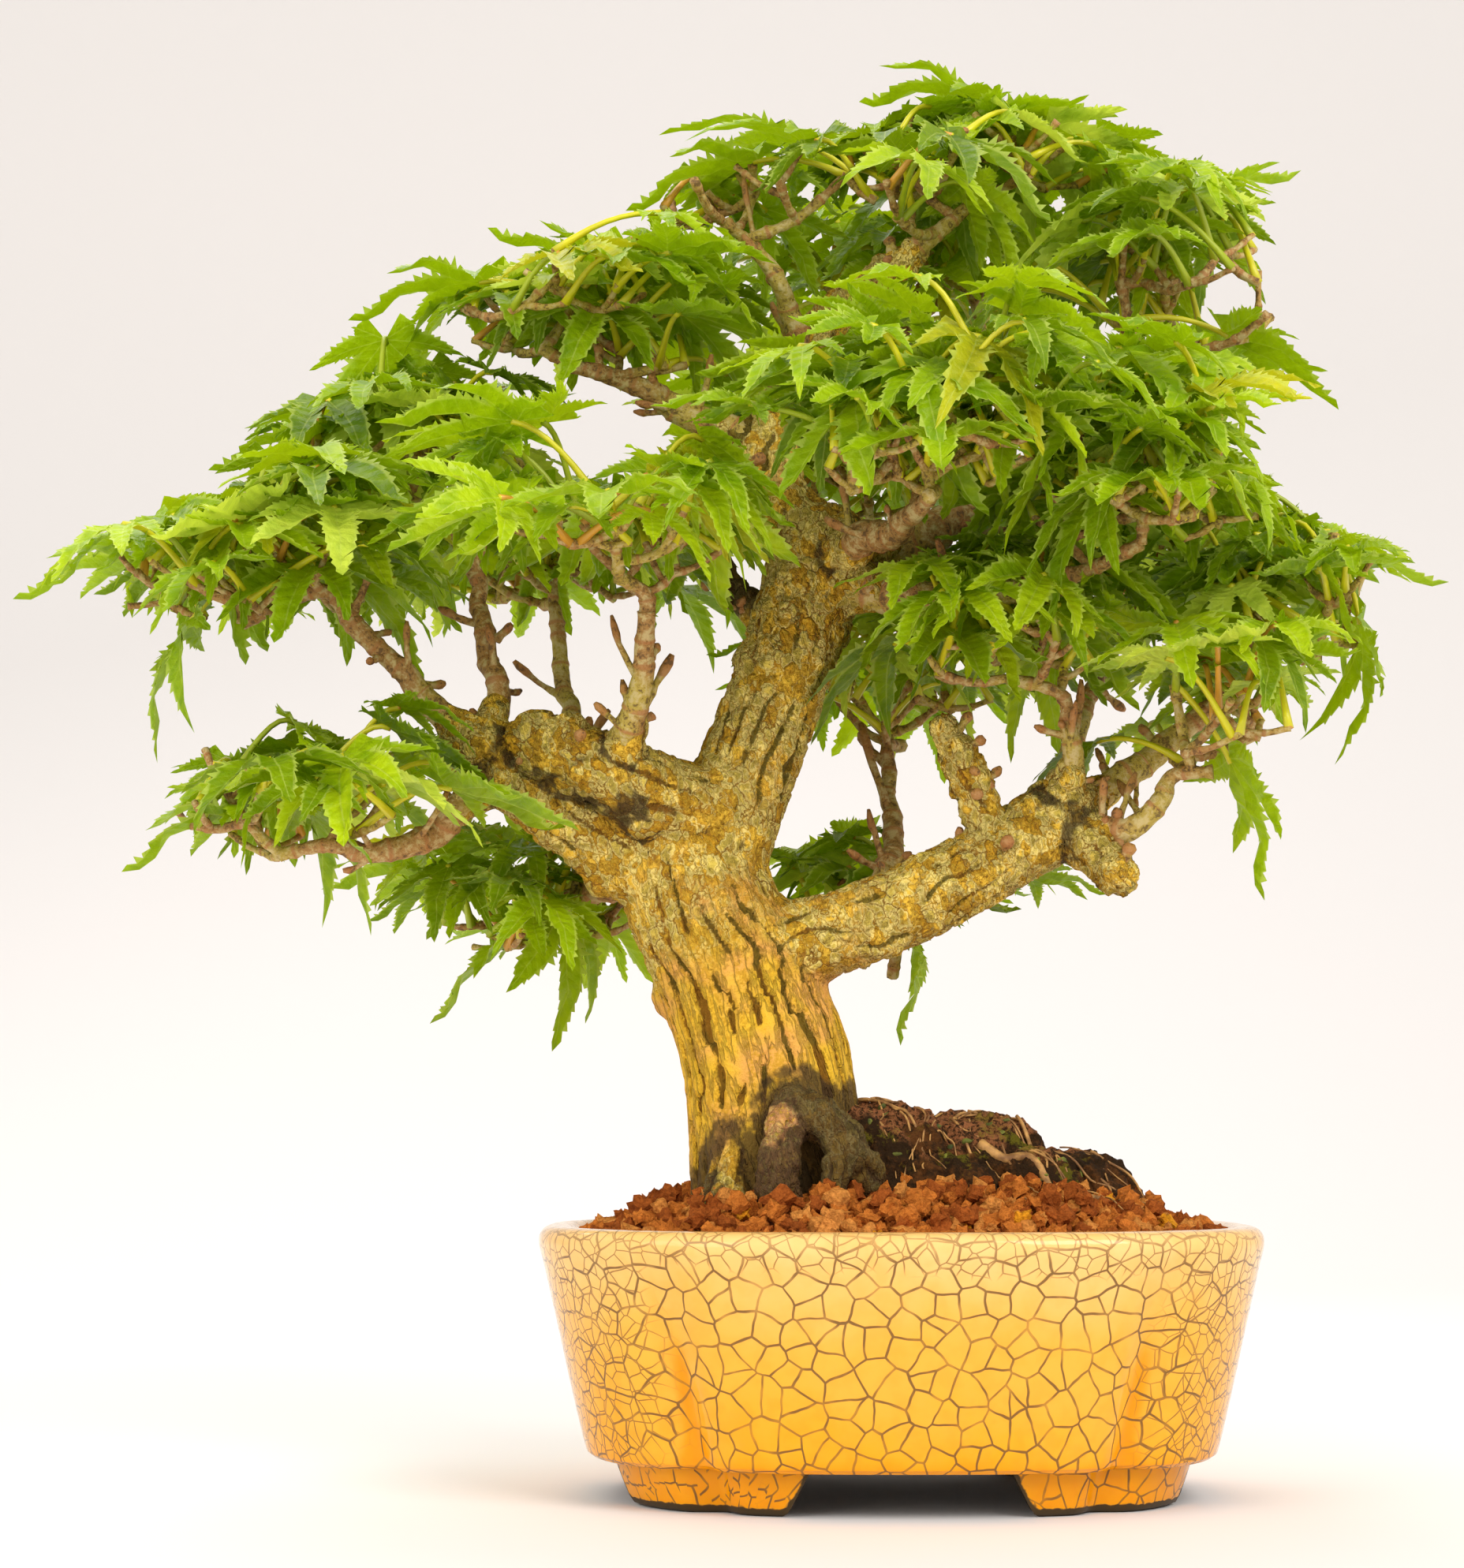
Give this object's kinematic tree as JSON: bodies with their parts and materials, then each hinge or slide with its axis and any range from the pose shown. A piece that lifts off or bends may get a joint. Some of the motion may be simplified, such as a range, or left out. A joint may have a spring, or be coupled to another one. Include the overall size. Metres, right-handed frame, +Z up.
{
  "type": "japanese maple bonsai in a glazed pot",
  "caption": "Dwarf maple bonsai with a thick leaning trunk, forked limbs and tiered pads of lobed leaves, standing in a lobed, footed, crackle-glazed pot.",
  "frame": {"origin": "on the ground under the pot's feet, at the middle of the whole plant's bounding box", "axes": "+Z up, -Y towards the side that the picture shows, +X to the right of that view"},
  "size_m": [0.348, 0.223, 0.3445],
  "materials": {
    "glaze": "glossy cream yellow glaze, amber in its hollows, with a net of fine brown cracks",
    "soil": "dry granules of fired red clay",
    "old_roots": "dark, fibrous old root wood with moss",
    "bark": "tan, furrowed bark with olive green in its furrows",
    "leaves": "satin green leaves on yellow green stalks and grey brown twigs"
  },
  "bodies": {
    "root": {"bough_apex_left": "bark", "bough_centre_back": "bark", "bough_front": "bark", "bough_high_back": "bark", "bough_left_back": "bark", "bough_left_front": "bark", "bough_left_high": "bark", "bough_left_low": "bark", "bough_left_tier": "bark", "bough_low_back": "bark", "bough_mid_back": "bark", "bough_right_back": "bark", "bough_right_inner": "bark", "bough_right_low": "bark", "bough_right_mid": "bark", "bough_right_out": "bark", "bough_right_up": "bark", "bough_under_back": "bark", "bough_upper_left": "bark", "bough_upper_right": "bark", "knuckle": "bark", "leader": "bark", "leader_top": "bark", "leaves_apex": "leaves", "leaves_apex_left": "leaves", "leaves_centre_back": "leaves", "leaves_far_left": "leaves", "leaves_front": "leaves", "leaves_high_back": "leaves", "leaves_left_back": "leaves", "leaves_left_front": "leaves", "leaves_left_tier": "leaves", "leaves_low_back": "leaves", "leaves_low_left": "leaves", "leaves_mid_back": "leaves", "leaves_right_back": "leaves", "leaves_right_inner": "leaves", "leaves_right_low": "leaves", "leaves_right_mid": "leaves", "leaves_right_out": "leaves", "leaves_under_back": "leaves", "leaves_upper_left": "leaves", "leaves_upper_right": "leaves", "limb_left": "bark", "limb_right": "bark", "old_roots": "old_roots", "pot": "glaze", "pot_foot_left_back": "glaze", "pot_foot_left_front": "glaze", "pot_foot_right_back": "glaze", "pot_foot_right_front": "glaze", "root_knob": "bark", "soil": "soil", "stub_dark": "bark", "stub_right": "bark", "trunk": "bark"}
  },
  "joints": []
}
